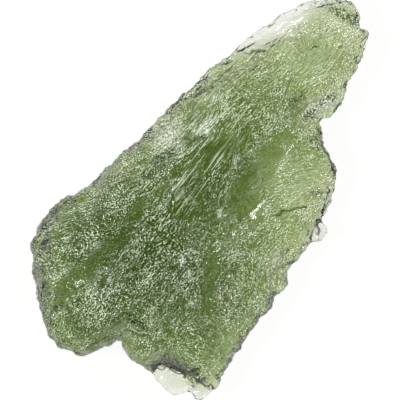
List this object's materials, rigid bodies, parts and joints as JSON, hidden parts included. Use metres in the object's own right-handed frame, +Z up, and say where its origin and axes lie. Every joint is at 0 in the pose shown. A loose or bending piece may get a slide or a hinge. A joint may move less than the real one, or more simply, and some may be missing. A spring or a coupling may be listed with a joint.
{
  "type": "moldavite",
  "caption": "Natural moldavite: a flat, elongated piece of etched green glass with a thick body, a narrow thin tongue, conchoidal scars and thin broken edges, lying on its belly.",
  "frame": {"origin": "middle of the footprint, on the surface that the stone lies on", "axes": "+X along the stone's length towards the narrow tongue, +Y towards the long upper edge with the great scar, +Z up from the flat spot on the belly"},
  "size_m": [0.036, 0.0192, 0.007],
  "materials": {
    "moldavite_glass": "natural etched surface with fine flow furrows and small pits, satin to glassy, see-through olive green that is nearly clear where the glass is thin"
  },
  "bodies": {
    "root": {"moldavite": "moldavite_glass"}
  },
  "joints": []
}
